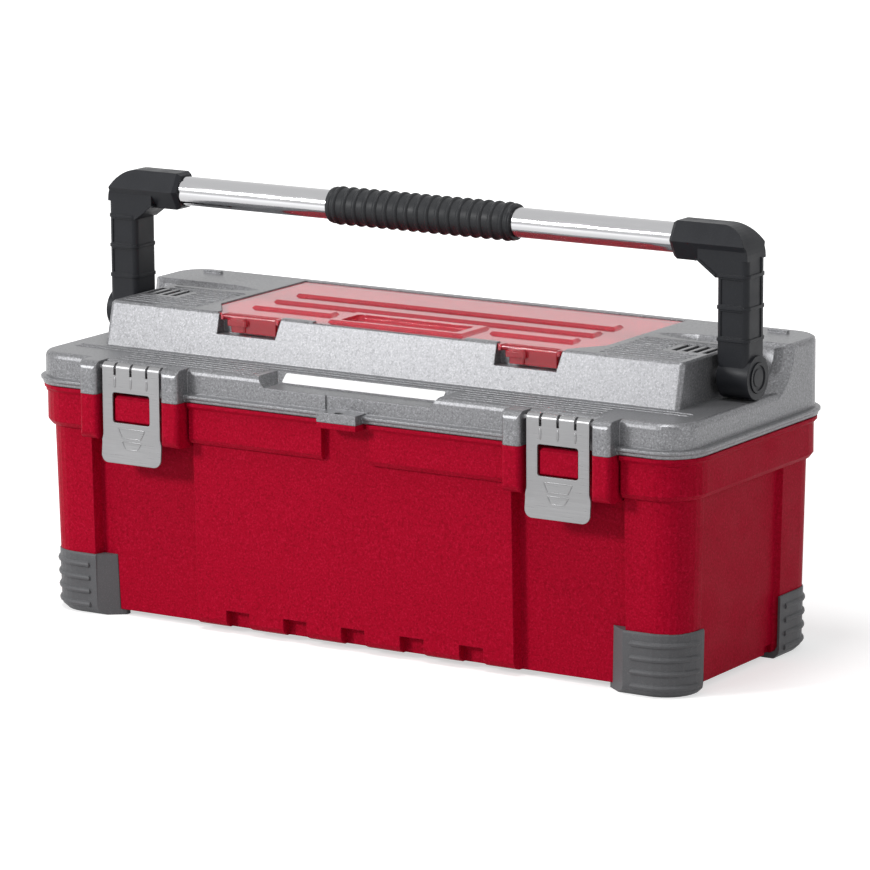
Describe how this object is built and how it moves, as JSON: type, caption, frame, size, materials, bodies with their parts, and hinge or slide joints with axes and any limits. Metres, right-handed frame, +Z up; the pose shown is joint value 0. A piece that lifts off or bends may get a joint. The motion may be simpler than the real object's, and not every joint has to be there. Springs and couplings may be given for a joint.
{
  "type": "cantilever tool box",
  "caption": "Moulded tool box with a rear-hinged lid, metal front latches, folding bar handle, see-through organizer cover and a tray that swings up and back as the lid opens.",
  "frame": {"origin": "on the ground under the middle of the closed box", "axes": "+X to the box's right as seen from the front, +Y towards the hinged back, +Z up"},
  "size_m": [0.646, 0.27, 0.3679],
  "materials": {
    "red_plastic": "fine grain",
    "foot_plastic": "matte",
    "silver_plastic": "metallic speckle, satin",
    "white_label": "smooth",
    "bin_plastic": "satin",
    "latch_steel": "satin plate",
    "clear_red_plastic": "clear tinted",
    "latch_red_plastic": "clear tinted",
    "bar_metal": "polished",
    "grip_rubber": "matte",
    "dark_plastic": "satin",
    "tray_plastic": "matte",
    "pin_steel": "plain",
    "link_steel": "zinc plated"
  },
  "bodies": {
    "base": {"tub": "red_plastic", "foot_front_left": "foot_plastic", "foot_front_right": "foot_plastic", "foot_rear_left": "foot_plastic", "foot_rear_right": "foot_plastic", "padlock_tab": "red_plastic", "hinge_pin_left": "pin_steel", "hinge_pin_right": "pin_steel", "swing_pivot_left": "pin_steel", "swing_pivot_right": "pin_steel"},
    "lid": {"lid": "silver_plastic", "name_plate": "white_label", "organizer_insert": "bin_plastic", "latch_pin_left": "pin_steel", "latch_pin_right": "pin_steel", "handle_pivot_left": "pin_steel", "handle_pivot_right": "pin_steel", "tray_bracket_left": "link_steel", "tray_bracket_right": "link_steel", "tray_rivet_left": "pin_steel", "tray_rivet_right": "pin_steel"},
    "front_latch_left": {"latch_left": "latch_steel"},
    "front_latch_right": {"latch_right": "latch_steel"},
    "organizer_cover": {"organizer_cover": "clear_red_plastic"},
    "cover_latch_left": {"cover_latch_left": "latch_red_plastic"},
    "cover_latch_right": {"cover_latch_right": "latch_red_plastic"},
    "handle": {"handle_bar": "bar_metal", "handle_grip": "grip_rubber", "handle_arm_left": "dark_plastic", "handle_arm_right": "dark_plastic", "pivot_cap_left": "dark_plastic", "pivot_cap_right": "dark_plastic"},
    "swing_arms": {"swing_arm_left": "link_steel", "swing_arm_right": "link_steel", "swing_rivet_left": "pin_steel", "swing_rivet_right": "pin_steel"},
    "tray": {"cantilever_tray": "tray_plastic"}
  },
  "joints": [
    {"name": "lid_hinge", "type": "hinge", "parent": "base", "child": "lid", "pos_m": [0, 0.129, 0.2], "axis": [-1, 0, 0], "range_deg": [0, 100]},
    {"name": "front_latch_left_pin", "type": "hinge", "parent": "lid", "child": "front_latch_left", "pos_m": [-0.208, -0.1254, 0.22], "axis": [-1, 0, 0], "range_deg": [0, 100]},
    {"name": "front_latch_right_pin", "type": "hinge", "parent": "lid", "child": "front_latch_right", "pos_m": [0.208, -0.1254, 0.22], "axis": [-1, 0, 0], "range_deg": [0, 100]},
    {"name": "cover_hinge", "type": "hinge", "parent": "lid", "child": "organizer_cover", "pos_m": [0, 0.106, 0.2582], "axis": [-1, 0, 0], "range_deg": [0, 30]},
    {"name": "cover_latch_left_pin", "type": "hinge", "parent": "organizer_cover", "child": "cover_latch_left", "pos_m": [-0.137, -0.0535, 0.2586], "axis": [-1, 0, 0], "range_deg": [0, 60]},
    {"name": "cover_latch_right_pin", "type": "hinge", "parent": "organizer_cover", "child": "cover_latch_right", "pos_m": [0.137, -0.0535, 0.2586], "axis": [-1, 0, 0], "range_deg": [0, 60]},
    {"name": "handle_fold", "type": "hinge", "parent": "lid", "child": "handle", "pos_m": [0, 0.0035, 0.2435], "axis": [1, 0, 0], "range_deg": [0, 90]},
    {"name": "swing_arm_pivot", "type": "hinge", "parent": "base", "child": "swing_arms", "pos_m": [0, 0.094, 0.17], "axis": [-1, 0, 0], "range_deg": [0, 100]},
    {"name": "tray_pivot", "type": "hinge", "parent": "swing_arms", "child": "tray", "pos_m": [0, 0.0151, 0.174], "axis": [1, 0, 0], "range_deg": [0, 100]}
  ],
  "couplings": [
    {"joint": "swing_arm_pivot", "follows": "lid_hinge", "ratio": 1},
    {"joint": "tray_pivot", "follows": "lid_hinge", "ratio": 1}
  ]
}
